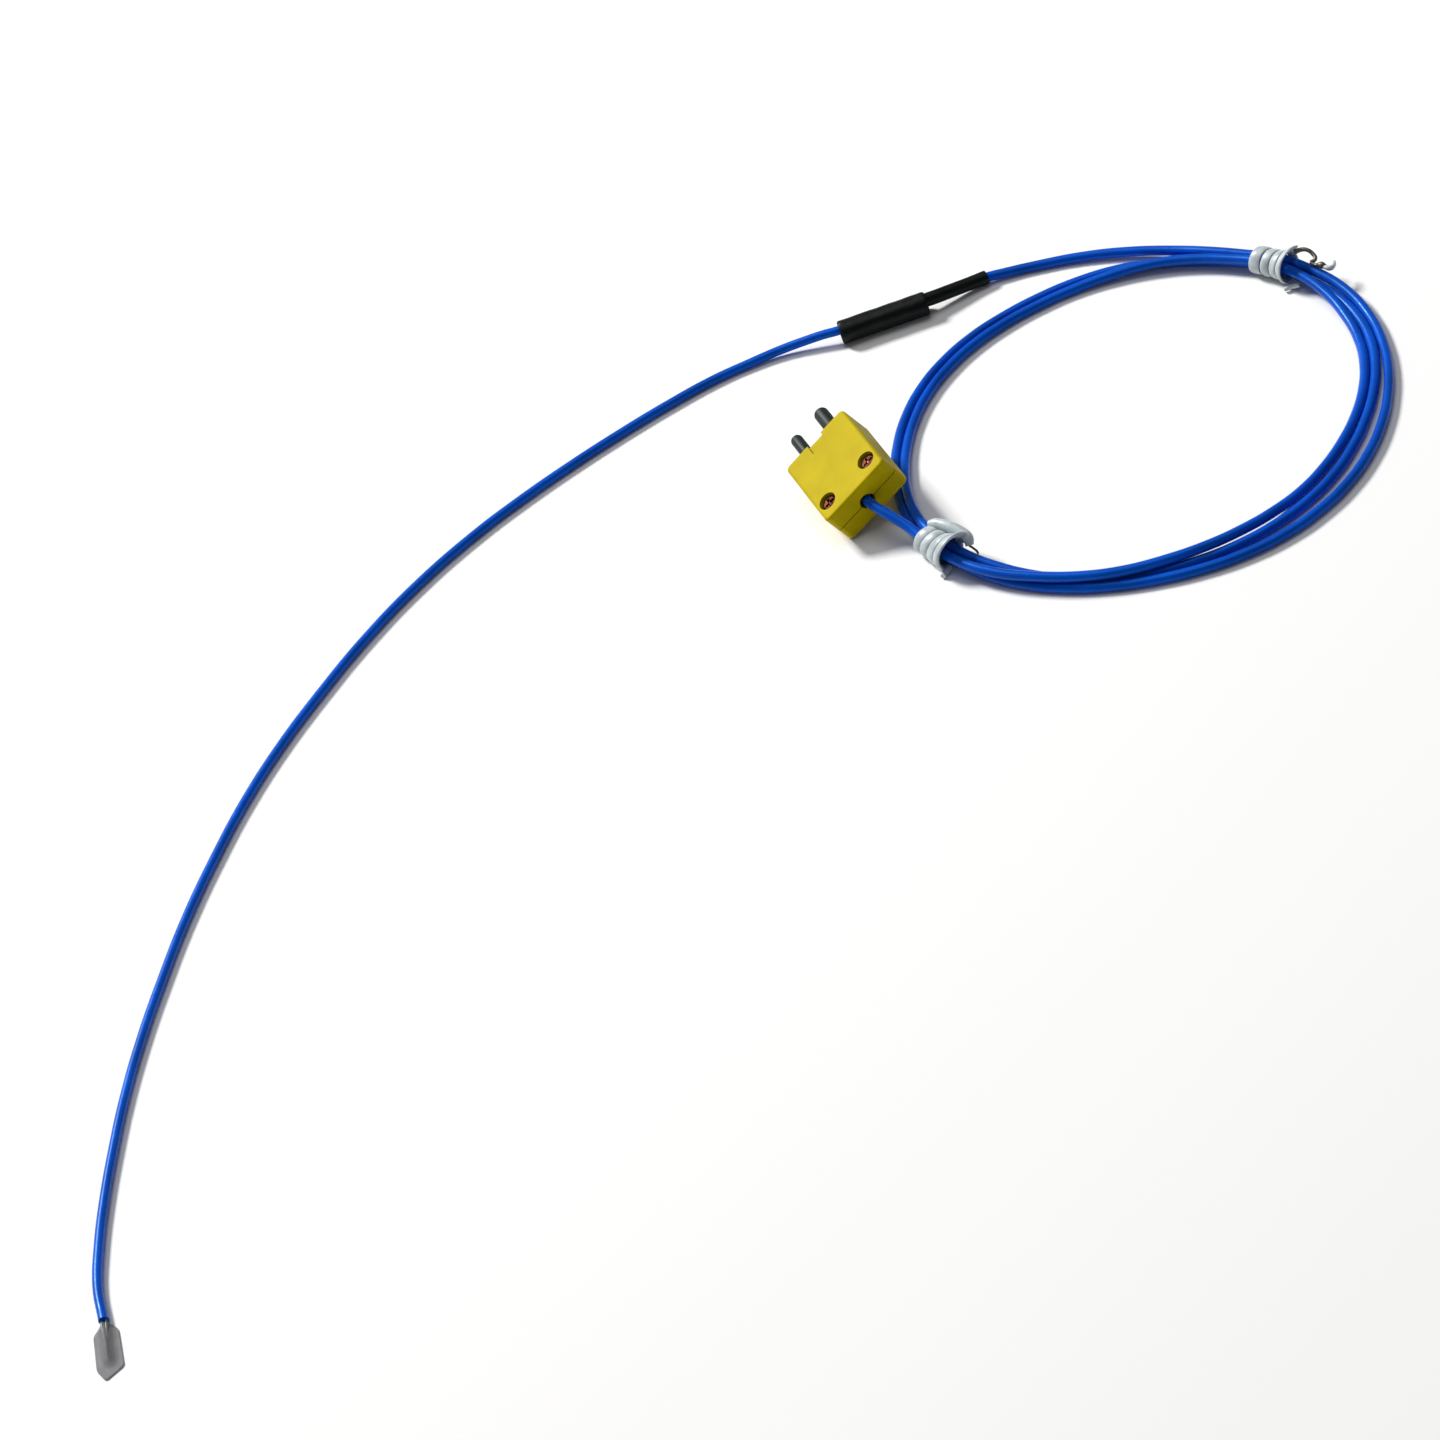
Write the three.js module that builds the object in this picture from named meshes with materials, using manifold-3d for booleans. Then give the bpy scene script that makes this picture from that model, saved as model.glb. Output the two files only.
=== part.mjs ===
// Contact thermocouple: a thin blue sensing lead, a heat-shrunk splice, a coiled blue
// extension cable held by two wire ties, and a two-pin plug in yellow plastic.
// Millimetres, +Z up. The pins point along +Y. The origin is under the middle of the plug,
// on the surface that everything lies on.
import * as THREE from 'three';
import { mergeVertices } from 'three/addons/utils/BufferGeometryUtils.js';
import Module from 'manifold-3d';

const wasm = await Module();
wasm.setup();

// ---------------------------------------------------------------- driving dimensions

const GAP = 0.3; // clearance between pieces that touch

// Plug body, in its own frame: X across the pins, Y along them, Z through its thickness
const PLUG_WIDTH = 25.4;
const PLUG_LENGTH = 31.8;
const PLUG_THICKNESS = 12.7;
const PLUG_CORNER = 1.8;
const PLUG_EDGE = 0.9;
const PLUG_LEAN = 27.5; // degrees that the plug leans over on its left long edge
const SIDE_WALL = 2.5;
const REAR_WALL = 3.0;
const FRONT_WALL = 4.3;
const SKIN = 2.4; // thickness of the top and bottom walls
const RIB_WIDTH = 1.8;
const RIB_BACK = 1.0;
const NOTCH_WIDTH = 6.0;
const NOTCH_LENGTH = 7.2;
const NOTCH_DEPTH = 1.6;

// Two round pins, the negative one thicker, so that the plug fits one way round
const PIN_SPACING = 11.1;
const PIN_LENGTH = 14.2;
const PIN_TIP = 1.2;
const PIN_RADIUS = { positive: 1.98, negative: 2.38 };
const COLLAR_PROUD = 0.9;
const COLLAR_LENGTH = 1.4;
const COLLAR_PLACE = 2.4; // from the front face to the collar's middle
const BLOCK = { width: 5.4, back: 1.5, front: 10.5, bottom: -3.6, top: -0.6 };
const TERMINAL_Y = 5.0;
const TERMINAL_BORE = 1.55;
const TERMINAL_SHANK = 1.2;
const TERMINAL_HEAD = { radius: 2.2, height: 1.2 };
const TERMINAL_WASHER = { radius: 2.45, height: 0.5 };

// Cover screws and the brass inserts that they turn in
const COVER_SCREW_X = 8.45;
const COVER_SCREW_Y = 6.3 - PLUG_LENGTH / 2;
const RECESS = { radius: 3.0, depth: 3.2 };
const BOSS_RADIUS = 4.0;
const COVER_HEAD = { radius: 2.6, height: 1.8 };
const COVER_SHANK = 1.3;
const COVER_BORE = 1.6;
const INSERT = { radius: 2.1, top: -0.5, length: 4.4 };
const SLOT = { width: 0.7, depth: 0.7 };

// Cable gland
const CABLE_RADIUS = 1.6;
const GLAND_HOLE = 2.6;
const GROMMET = { neck: 2.3, flange: 3.4, flangeThickness: 1.2, bore: 1.85, recess: 1.0 };

// The two cores: insulated from the gland to the terminal, bare under its washer
const CORE_RADIUS = 0.65;
const WIRE_RADIUS = 0.4;
const CORE_OFFSET = 0.85;
const CORE_BEND = [[CORE_OFFSET, -10.6], [1.6, -6.5]];
const CORE_RISE_END = -2.6;
const CORE_LAP = 0.6;

// Coil of extension cable: three strands lie inside this ring
const COIL_CENTRE = { x: 85.5, y: -32 };
const COIL_RADIUS = 75;
const COIL_SECTION = 3.2;

// Wire ties round the coil: wraps with a given pitch, and ends turned away from the coil.
// In a tie's own frame X runs along the coil, Y outwards and Z up.
const TIE_WIRE = 1.25;
const TIE_CLEARANCE = 0.4;
const TIE_WRAP = COIL_SECTION + TIE_CLEARANCE + TIE_WIRE;
const TIE_PITCH = 3.05;
const TIE_HEIGHT = TIE_WRAP + TIE_WIRE + 0.05; // the lowest wrap just clears the surface
const TIE_LOWER = {
  degrees: -169.5,
  turns: 4.5,
  startTail: [[-9.0, 10.6, -4.6], [-8.2, 7.6, -2.6]],
  endTail: [[8.2, -7.6, -2.2], [7.4, -10.4, -3.2]],
};
const TIE_UPPER = {
  degrees: 27,
  turns: 3.5,
  startTail: [[-8.6, 12.4, 2.2], [-7.6, 10.2, 1.4], [-6.4, 7.4, -1.6]],
  endTail: [[6.6, -7.6, -2.4], [6.2, -10.2, -4.2]],
};

// Heat-shrunk splice: a thin sleeve on the cable runs into a thick one over the crimps
const SLEEVE = { radius: 3.8, bore: 2.9, mouth: 2.7, mouthLength: 2.0 };
const SLEEVE_START = new THREE.Vector3(58.0, 62.8, 3.85);
const SLEEVE_END = new THREE.Vector3(29.5, 68.2, 3.85);
const THIN_SLEEVE = { radius: 2.2, bore: 1.65 };
const CRIMP = { radius: 1.15, bore: 0.75, length: 9, lap: 3, offCentre: 1 };
const CORE_MOUTH = { start: 4.6, spread: 9 }; // places along the thick sleeve

// Sensing lead and its tip, with places along the tip measured from the sheath's end
const LEAD_RADIUS = 1.5;
const TIP_CORE_PATH = [[0.75, GAP], [0.8, 2.2], [0.62, 4.4]];
const TIP_CORE_END_OFFSET = 0.58;
const BEAD = { start: 6.2, radius: 0.8, length: 6.8 };
const FILM = { start: 0.8, thickness: 0.4, halfWidth: 4.0, length: 17.5, slant: 3.0 };
const COVER_FILM = { start: 1.6, halfWidth: 3.6, length: 12.5, arch: 2.6, archHalfWidth: 2.2 };

// Routes of the stretches that are not coiled, through points on the centre line
const TAIL_ROUTE = [
  [0, -22.35, 11.2], [0.2, -24.6, 11.15], [1.5, -28.2, 10.6], [3.6, -32.0, 9.5], [5.6, -35.4, 8.6],
];
const RUN_ROUTE = [
  [124.4, 42.3, 2.6], [116.2, 49.6, 2.1], [105.5, 56.3, 1.8], [93.5, 61.0, 1.7], [86.0, 62.8, 1.9],
  [79.3, 63.6, 2.25],
];
const THIN_SLEEVE_ROUTE = [
  [79.0, 63.65, 2.25], [70.5, 63.3, 2.8], [62.6, 62.7, 3.5], [58.0, 62.8, 3.8], [54.6, 63.4, 3.85],
];
const LEAD_ROUTE = [
  [29.2, 69.3, 3.9], [25.0, 70.9, 3.8], [20.2, 72.8, 3.3], [11.5, 75.7, 2.3], [0, 77.4, 1.6],
  [-12, 77.9, 1.5], [-28, 76.5, 1.5], [-47, 73.6, 1.5], [-66, 69.8, 1.5], [-85, 65.0, 1.5],
  [-104, 58.9, 1.5], [-127, 48.9, 1.5], [-150, 35.6, 1.5], [-171, 20.6, 1.5], [-189, 6.2, 1.5],
  [-206, -9.8, 1.5], [-222, -27.6, 1.5], [-238, -47.4, 1.5], [-252, -67.2, 1.5],
  [-264.5, -86.2, 1.5], [-275.5, -105, 1.5], [-285, -123.5, 1.5], [-292.8, -140.5, 1.5],
  [-299, -156, 1.5], [-303.4, -170, 1.5], [-306.3, -182.8, 1.5],
];

// ---------------------------------------------------------------- materials

const finish = (color, roughness, metalness = 0) => () => (
  new THREE.MeshStandardMaterial({ color, roughness, metalness })
);
const yellowPlastic = finish(0xd4c018, 0.5);
const darkPin = finish(0x2c3a38, 0.45, 0.7);
const steel = finish(0x9c9c98, 0.35, 0.9);
const brass = finish(0xb08d4a, 0.35, 0.9);
const blackRubber = finish(0x141414, 0.8);
const blueSheath = finish(0x0a4fc0, 0.3);
const redCore = finish(0xb02018, 0.4);
const whiteCore = finish(0xe8e4dc, 0.4);
const whiteTie = finish(0xd5dce0, 0.5);
const blackSleeve = finish(0x0c1512, 0.45);
const thermoAlloy = finish(0x5c6266, 0.4, 0.8);
const clearFilm = finish(0xdcdfe0, 0.35);

// ---------------------------------------------------------------- solids and booleans

function toSolid(geometry) {
  const bare = geometry.index ? geometry.toNonIndexed() : geometry.clone();
  bare.deleteAttribute('normal');
  bare.deleteAttribute('uv');
  const merged = mergeVertices(bare, 1e-4);
  return new wasm.Manifold(new wasm.Mesh({
    numProp: 3,
    vertProperties: new Float32Array(merged.attributes.position.array),
    triVerts: new Uint32Array(merged.index.array),
  }));
}

function toGeometry(solid) {
  const mesh = solid.getMesh();
  const geometry = new THREE.BufferGeometry();
  geometry.setAttribute('position', new THREE.BufferAttribute(new Float32Array(mesh.vertProperties), 3));
  geometry.setIndex(new THREE.BufferAttribute(new Uint32Array(mesh.triVerts), 1));
  geometry.computeVertexNormals();
  return geometry;
}

function join(first, ...others) {
  const solid = others.reduce((sum, other) => sum.add(toSolid(other)), toSolid(first));
  return toGeometry(solid);
}

function cut(first, ...tools) {
  const solid = tools.reduce((rest, tool) => rest.subtract(toSolid(tool)), toSolid(first));
  return toGeometry(solid);
}

function box(x0, x1, y0, y1, z0, z1) {
  const shape = new THREE.BoxGeometry(x1 - x0, y1 - y0, z1 - z0);
  return shape.translate((x0 + x1) / 2, (y0 + y1) / 2, (z0 + z1) / 2);
}

function rodZ(radius, z0, z1, x, y, sides = 20) {
  const rod = new THREE.CylinderGeometry(radius, radius, z1 - z0, sides);
  return rod.rotateX(Math.PI / 2).translate(x, y, (z0 + z1) / 2);
}

function rodY(radius, y0, y1, x, z, sides = 20) {
  const rod = new THREE.CylinderGeometry(radius, radius, y1 - y0, sides);
  return rod.translate(x, (y0 + y1) / 2, z);
}

// A turned piece about the Y axis, from pairs of radius and place along the axis
function turned(profile, sides = 20) {
  const points = profile.map(([radius, along]) => new THREE.Vector2(radius, along));
  return new THREE.LatheGeometry(points, sides);
}

function circleShape(radius, sides) {
  const shape = new THREE.Shape();
  for (let i = 0; i < sides; i += 1) {
    const angle = (2 * Math.PI * (i + 0.5)) / sides;
    const x = radius * Math.cos(angle);
    const y = radius * Math.sin(angle);
    if (i === 0) shape.moveTo(x, y);
    else shape.lineTo(x, y);
  }
  shape.closePath();
  return shape;
}

function smoothCurve(points) {
  return new THREE.CatmullRomCurve3(points.map((p) => new THREE.Vector3(...p)), false, 'centripetal');
}

function tube(points, radius, steps, sides = 8) {
  return new THREE.ExtrudeGeometry(circleShape(radius, sides), {
    steps,
    extrudePath: smoothCurve(points),
  });
}

function node(group, name, geometry, material) {
  const mesh = new THREE.Mesh(geometry, material());
  mesh.name = name;
  group.add(mesh);
  return mesh;
}

// ---------------------------------------------------------------- plug

const half = { x: PLUG_WIDTH / 2, y: PLUG_LENGTH / 2, z: PLUG_THICKNESS / 2 };
const cavityTop = half.z - SKIN;
const PIN_SIDE = { positive: -1, negative: 1 };
const POLES = ['positive', 'negative'];
const SIDES = [['right', 1], ['left', -1]];

function plugBlank() {
  const outline = new THREE.Shape();
  const { x, y } = half;
  const r = PLUG_CORNER;
  outline.moveTo(-x + r, -y);
  outline.lineTo(x - r, -y);
  outline.absarc(x - r, -y + r, r, -Math.PI / 2, 0);
  outline.lineTo(x, y - r);
  outline.absarc(x - r, y - r, r, 0, Math.PI / 2);
  outline.lineTo(-x + r, y);
  outline.absarc(-x + r, y - r, r, Math.PI / 2, Math.PI);
  outline.lineTo(-x, -y + r);
  outline.absarc(-x + r, -y + r, r, Math.PI, 1.5 * Math.PI);
  const blank = new THREE.ExtrudeGeometry(outline, {
    depth: PLUG_THICKNESS - 2 * PLUG_EDGE,
    bevelThickness: PLUG_EDGE,
    bevelSize: PLUG_EDGE,
    bevelOffset: -PLUG_EDGE,
    bevelSegments: 3,
    curveSegments: 4,
  });
  return blank.translate(0, 0, -half.z + PLUG_EDGE);
}

// The round-ended channels that hold the pins, cut from both halves
function pinChannels() {
  return POLES.flatMap((pole) => {
    const x = (PIN_SIDE[pole] * PIN_SPACING) / 2;
    const radius = PIN_RADIUS[pole] + GAP;
    const collar = half.y - COLLAR_PLACE;
    const reach = COLLAR_LENGTH / 2 + GAP;
    return [
      rodY(radius, half.y - FRONT_WALL - 1, half.y + 1, x, 0),
      rodY(radius + COLLAR_PROUD, collar - reach, collar + reach, x, 0),
    ];
  });
}

// One half's hollow: the pocket, less its two screw bosses and the rib between the pins
function pocket(z0, z1) {
  const room = box(
    -half.x + SIDE_WALL, half.x - SIDE_WALL, -half.y + REAR_WALL, half.y - FRONT_WALL, z0, z1,
  );
  const bosses = SIDES.map(([, sign]) => (
    rodZ(BOSS_RADIUS, z0 - 1, z1 + 1, sign * COVER_SCREW_X, COVER_SCREW_Y, 28)
  ));
  const rib = box(-RIB_WIDTH / 2, RIB_WIDTH / 2, RIB_BACK, half.y, z0 - 1, z1 + 1);
  return cut(room, ...bosses, rib);
}

const glandHole = () => rodY(GLAND_HOLE, -half.y - 1, -half.y + REAR_WALL + 1, 0, 0, 24);

function baseGeometry() {
  const insertHoles = SIDES.map(([, sign]) => rodZ(
    INSERT.radius + GAP, INSERT.top - INSERT.length - GAP, 1, sign * COVER_SCREW_X, COVER_SCREW_Y,
  ));
  return cut(
    plugBlank(),
    box(-half.x - 1, half.x + 1, -half.y - 1, half.y + 1, -GAP / 2, half.z + 1),
    pocket(-cavityTop, GAP),
    glandHole(),
    ...pinChannels(),
    ...insertHoles,
  );
}

function coverGeometry() {
  const notchEnd = half.y - NOTCH_LENGTH + NOTCH_WIDTH / 2;
  const notchFloor = half.z - NOTCH_DEPTH;
  const screwHoles = SIDES.flatMap(([, sign]) => [
    rodZ(RECESS.radius, half.z - RECESS.depth, half.z + 1, sign * COVER_SCREW_X, COVER_SCREW_Y, 28),
    rodZ(COVER_BORE, -1, half.z, sign * COVER_SCREW_X, COVER_SCREW_Y),
  ]);
  return cut(
    plugBlank(),
    box(-half.x - 1, half.x + 1, -half.y - 1, half.y + 1, -half.z - 1, GAP / 2),
    pocket(-GAP, cavityTop),
    glandHole(),
    box(-NOTCH_WIDTH / 2, NOTCH_WIDTH / 2, notchEnd, half.y + 1, notchFloor, half.z + 1),
    rodZ(NOTCH_WIDTH / 2, notchFloor, half.z + 1, 0, notchEnd, 28),
    ...pinChannels(),
    ...screwHoles,
  );
}

// A pin with its collar and its milled terminal block, in one piece
function pinGeometry(pole) {
  const x = (PIN_SIDE[pole] * PIN_SPACING) / 2;
  const radius = PIN_RADIUS[pole];
  const collar = half.y - COLLAR_PLACE;
  const tip = half.y + PIN_LENGTH;
  const shaft = turned([
    [0, BLOCK.front - 1],
    [radius, BLOCK.front - 1],
    [radius, collar - COLLAR_LENGTH / 2],
    [radius + COLLAR_PROUD, collar - COLLAR_LENGTH / 2],
    [radius + COLLAR_PROUD, collar + COLLAR_LENGTH / 2],
    [radius, collar + COLLAR_LENGTH / 2],
    [radius, tip - PIN_TIP],
    [radius * 0.92, tip - PIN_TIP * 0.55],
    [radius * 0.7, tip - PIN_TIP * 0.18],
    [radius * 0.4, tip],
    [0, tip],
  ], 24).translate(x, 0, 0);
  const block = box(
    x - BLOCK.width / 2, x + BLOCK.width / 2, BLOCK.back, BLOCK.front, BLOCK.bottom, BLOCK.top,
  );
  const bore = rodZ(TERMINAL_BORE, BLOCK.bottom - 1, BLOCK.top + 1, x, TERMINAL_Y);
  return cut(join(shaft, block), bore);
}

// A screw along Z: a slotted or cross-cut head on a plain shank
function screwGeometry(head, shankRadius, under, shankEnd, crossed) {
  const top = under + head.height;
  const blank = turned([
    [0, shankEnd],
    [shankRadius * 0.7, shankEnd],
    [shankRadius, shankEnd + 0.5],
    [shankRadius, under],
    [head.radius, under],
    [head.radius, top - 0.4],
    [head.radius - 0.5, top],
    [0, top],
  ], 24).rotateX(Math.PI / 2);
  const reach = crossed ? head.radius * 0.68 : head.radius + 1;
  const slots = [box(-reach, reach, -SLOT.width / 2, SLOT.width / 2, top - SLOT.depth, top + 1)];
  if (crossed) slots.push(slots[0].clone().rotateZ(Math.PI / 2));
  return cut(blank, ...slots);
}

// A core from the cable to its terminal: insulated as far as the block, bare beyond it
function plugCoreGeometry(pole) {
  const side = PIN_SIDE[pole];
  const start = -half.y + GROMMET.recess + 0.1;
  const wireX = side * (PIN_SPACING / 2 - TERMINAL_BORE - WIRE_RADIUS - 0.05);
  const wireZ = BLOCK.top + GAP + WIRE_RADIUS;
  const insulation = tube([
    [side * CORE_OFFSET, start, 0],
    ...CORE_BEND.map(([offset, along]) => [side * offset, along, 0]),
    [wireX, CORE_RISE_END, wireZ],
    [wireX, BLOCK.back - 1, wireZ],
  ], CORE_RADIUS, 16);
  const wire = tube([
    [wireX, CORE_RISE_END + CORE_LAP, wireZ],
    [wireX, TERMINAL_Y + TERMINAL_WASHER.radius + CORE_LAP, wireZ],
  ], WIRE_RADIUS, 1);
  return join(insulation, wire);
}

function grommetGeometry() {
  const face = -half.y + GROMMET.recess;
  const wall = -half.y + REAR_WALL + GAP;
  return turned([
    [GROMMET.bore, face],
    [GROMMET.neck, face],
    [GROMMET.neck, wall],
    [GROMMET.flange, wall],
    [GROMMET.flange, wall + GROMMET.flangeThickness],
    [GROMMET.bore, wall + GROMMET.flangeThickness],
    [GROMMET.bore, face],
  ], 24);
}

function insertGeometry() {
  const bottom = INSERT.top - INSERT.length;
  return cut(
    rodZ(INSERT.radius, bottom, INSERT.top, 0, 0),
    rodZ(COVER_BORE, bottom - 1, INSERT.top + 1, 0, 0),
  );
}

const plug = new THREE.Group();
node(plug, 'plug_base', baseGeometry(), yellowPlastic);
node(plug, 'plug_cover', coverGeometry(), yellowPlastic);
node(plug, 'cable_grommet', grommetGeometry(), blackRubber);

const headUnder = half.z - RECESS.depth + GAP;
for (const [side, sign] of SIDES) {
  const screw = screwGeometry(COVER_HEAD, COVER_SHANK, headUnder, INSERT.top - INSERT.length, true);
  const x = sign * COVER_SCREW_X;
  node(plug, `cover_screw_${side}`, screw, steel).position.set(x, COVER_SCREW_Y, 0);
  node(plug, `cover_insert_${side}`, insertGeometry(), brass).position.set(x, COVER_SCREW_Y, 0);
}

const washerUnder = BLOCK.top + 2 * GAP + 2 * WIRE_RADIUS;
const washerTop = washerUnder + TERMINAL_WASHER.height;
for (const pole of POLES) {
  const x = (PIN_SIDE[pole] * PIN_SPACING) / 2;
  const screw = screwGeometry(TERMINAL_HEAD, TERMINAL_SHANK, washerTop + GAP, BLOCK.bottom, false);
  const washer = cut(
    rodZ(TERMINAL_WASHER.radius, washerUnder, washerTop, 0, 0),
    rodZ(TERMINAL_BORE, washerUnder - 1, washerTop + 1, 0, 0),
  );
  node(plug, `pin_${pole}`, pinGeometry(pole), darkPin);
  node(plug, `terminal_screw_${pole}`, screw, steel).position.set(x, TERMINAL_Y, 0);
  node(plug, `terminal_washer_${pole}`, washer, steel).position.set(x, TERMINAL_Y, 0);
  node(plug, `plug_core_${pole}`, plugCoreGeometry(pole), pole === 'positive' ? redCore : whiteCore);
}

// The plug leans on its lower left long edge; its box then stands on the origin
plug.rotation.y = -THREE.MathUtils.degToRad(PLUG_LEAN);
plug.updateMatrixWorld(true);
const plugBox = new THREE.Box3().setFromObject(plug, true);
const plugMiddle = plugBox.getCenter(new THREE.Vector3());
plug.position.set(-plugMiddle.x, -plugMiddle.y, -plugBox.min.z);

// ---------------------------------------------------------------- coil and ties

const cable = new THREE.Group();
node(cable, 'cable_tail', tube(TAIL_ROUTE, CABLE_RADIUS, 5), blueSheath);
node(cable, 'cable_run', tube(RUN_ROUTE, CABLE_RADIUS, 8), blueSheath);

function coilGeometry() {
  const profile = [];
  const sides = 12;
  for (let i = 0; i <= sides; i += 1) {
    const angle = (2 * Math.PI * (i % sides)) / sides;
    profile.push([
      COIL_RADIUS + COIL_SECTION * Math.cos(angle),
      COIL_SECTION * Math.sin(angle),
    ]);
  }
  return turned(profile, 80).rotateX(Math.PI / 2);
}

const coil = node(cable, 'cable_coil', coilGeometry(), blueSheath);
coil.position.set(COIL_CENTRE.x, COIL_CENTRE.y, TIE_HEIGHT);

// A tie: wraps about the X axis, which bend with the ring, and two ends turned away from it
function tieGeometry({ turns, startTail, endTail }) {
  const length = turns * TIE_PITCH;
  const perTurn = 14;
  const count = Math.round(turns * perTurn);
  const wraps = [];
  for (let i = 0; i <= count; i += 1) {
    const angle = (2 * Math.PI * turns * i) / count;
    const along = (length * i) / count - length / 2;
    const sag = (along * along) / (2 * COIL_RADIUS);
    wraps.push([along, TIE_WRAP * Math.cos(angle) - sag, TIE_WRAP * Math.sin(angle)]);
  }
  const steps = count + 4 * (startTail.length + endTail.length);
  return tube([...startTail, ...wraps, ...endTail], TIE_WIRE, steps, 8);
}

// Places a tie on the ring, its own X axis along the coil and its Y axis outwards
function placeTie(name, spec) {
  const angle = THREE.MathUtils.degToRad(spec.degrees);
  const tie = node(cable, name, tieGeometry(spec), whiteTie);
  tie.position.set(
    COIL_CENTRE.x + COIL_RADIUS * Math.cos(angle),
    COIL_CENTRE.y + COIL_RADIUS * Math.sin(angle),
    TIE_HEIGHT,
  );
  tie.rotation.z = angle - Math.PI / 2;
}

placeTie('tie_lower', TIE_LOWER);
placeTie('tie_upper', TIE_UPPER);

// ---------------------------------------------------------------- splice

const splice = new THREE.Group();
const sleeveAxis = new THREE.Vector3().subVectors(SLEEVE_END, SLEEVE_START);
const sleeveLength = sleeveAxis.length();
splice.position.copy(SLEEVE_START);
splice.rotation.z = Math.atan2(sleeveAxis.y, sleeveAxis.x) - Math.PI / 2;

// In this group the thick sleeve's axis is +Y, from the cable's side to the lead's side
node(splice, 'sleeve_thick', turned([
  [SLEEVE.mouth, 0],
  [SLEEVE.radius - 0.3, 0],
  [SLEEVE.radius, 0.5],
  [SLEEVE.radius, sleeveLength - 0.5],
  [SLEEVE.radius - 0.3, sleeveLength],
  [SLEEVE.bore, sleeveLength],
  [SLEEVE.bore, SLEEVE.mouthLength],
  [SLEEVE.mouth, SLEEVE.mouthLength],
  [SLEEVE.mouth, 0],
], 24), blackSleeve);

const crimpMiddle = sleeveLength / 2 + CRIMP.offCentre;
for (const pole of POLES) {
  const x = PIN_SIDE[pole] * (CRIMP.radius + GAP);
  const crimpStart = crimpMiddle - CRIMP.length / 2;
  const crimpEnd = crimpMiddle + CRIMP.length / 2;
  const colour = pole === 'positive' ? redCore : whiteCore;
  node(splice, `crimp_${pole}`, turned([
    [CRIMP.bore, crimpStart],
    [CRIMP.radius, crimpStart],
    [CRIMP.radius, crimpEnd],
    [CRIMP.bore, crimpEnd],
    [CRIMP.bore, crimpStart],
  ], 16).translate(x, 0, 0), brass);
  node(splice, `cable_core_${pole}`, tube([
    [x * 0.6, CORE_MOUTH.start, 0],
    [x * 0.75, (CORE_MOUTH.start + CORE_MOUTH.spread) / 2, 0],
    [x, CORE_MOUTH.spread, 0],
    [x, crimpStart + CRIMP.lap, 0],
  ], WIRE_RADIUS, 8), colour);
  node(splice, `lead_core_${pole}`, tube([
    [x, crimpEnd - CRIMP.lap, 0],
    [x, crimpEnd + CRIMP.lap, 0],
    [x * 0.6, sleeveLength - 0.6, 0],
  ], WIRE_RADIUS, 8), colour);
}

const thinSleeveSection = circleShape(THIN_SLEEVE.radius, 16);
thinSleeveSection.holes.push(circleShape(THIN_SLEEVE.bore, 16));
node(cable, 'sleeve_thin', new THREE.ExtrudeGeometry(thinSleeveSection, {
  steps: 10,
  extrudePath: smoothCurve(THIN_SLEEVE_ROUTE),
}), blackSleeve);

// ---------------------------------------------------------------- sensing lead and tip

node(cable, 'sensing_lead', tube(LEAD_ROUTE, LEAD_RADIUS, 64), blueSheath);

// The tip's own frame: +Y onwards from the sheath's end, Z = 0 on the surface
const tip = new THREE.Group();
const sheathEnd = new THREE.Vector3(...LEAD_ROUTE.at(-1));
const lastBend = new THREE.Vector3(...LEAD_ROUTE.at(-2));
const heading = new THREE.Vector3().subVectors(sheathEnd, lastBend);
tip.position.set(sheathEnd.x, sheathEnd.y, 0);
tip.rotation.z = Math.atan2(heading.y, heading.x) - Math.PI / 2;

for (const pole of POLES) {
  const side = PIN_SIDE[pole];
  node(tip, `tip_core_${pole}`, tube([
    ...TIP_CORE_PATH.map(([offset, along]) => [side * offset, along, LEAD_RADIUS]),
    [side * TIP_CORE_END_OFFSET, BEAD.start - GAP, LEAD_RADIUS],
  ], WIRE_RADIUS, 8), thermoAlloy);
}

const beadEnd = BEAD.start + BEAD.length;
node(tip, 'junction_bead', turned([
  [0, BEAD.start],
  [BEAD.radius * 0.7, BEAD.start + 0.15],
  [BEAD.radius, BEAD.start + 0.8],
  [BEAD.radius, beadEnd - 0.9],
  [BEAD.radius * 0.6, beadEnd - 0.2],
  [0, beadEnd],
], 16).translate(0, 0, LEAD_RADIUS), thermoAlloy);

// Base film: a lozenge with a slanted end, lying on the surface
function filmOutline() {
  const w = FILM.halfWidth;
  const { start, slant } = FILM;
  const end = start + FILM.length;
  const outline = new THREE.Shape();
  outline.moveTo(-w, start + 1);
  outline.quadraticCurveTo(-w, start, -w + 1, start);
  outline.lineTo(w - 1, start);
  outline.quadraticCurveTo(w, start, w, start + 1);
  outline.lineTo(w, end - 1.6);
  outline.quadraticCurveTo(w - 0.2, end, w - 1.8, end);
  outline.lineTo(-w + 1, end - slant);
  outline.quadraticCurveTo(-w, end - slant - 0.4, -w, end - slant - 1.6);
  outline.closePath();
  return outline;
}

node(tip, 'tip_film', new THREE.ExtrudeGeometry(filmOutline(), {
  depth: FILM.thickness,
  bevelEnabled: false,
  curveSegments: 4,
}), clearFilm);

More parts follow.
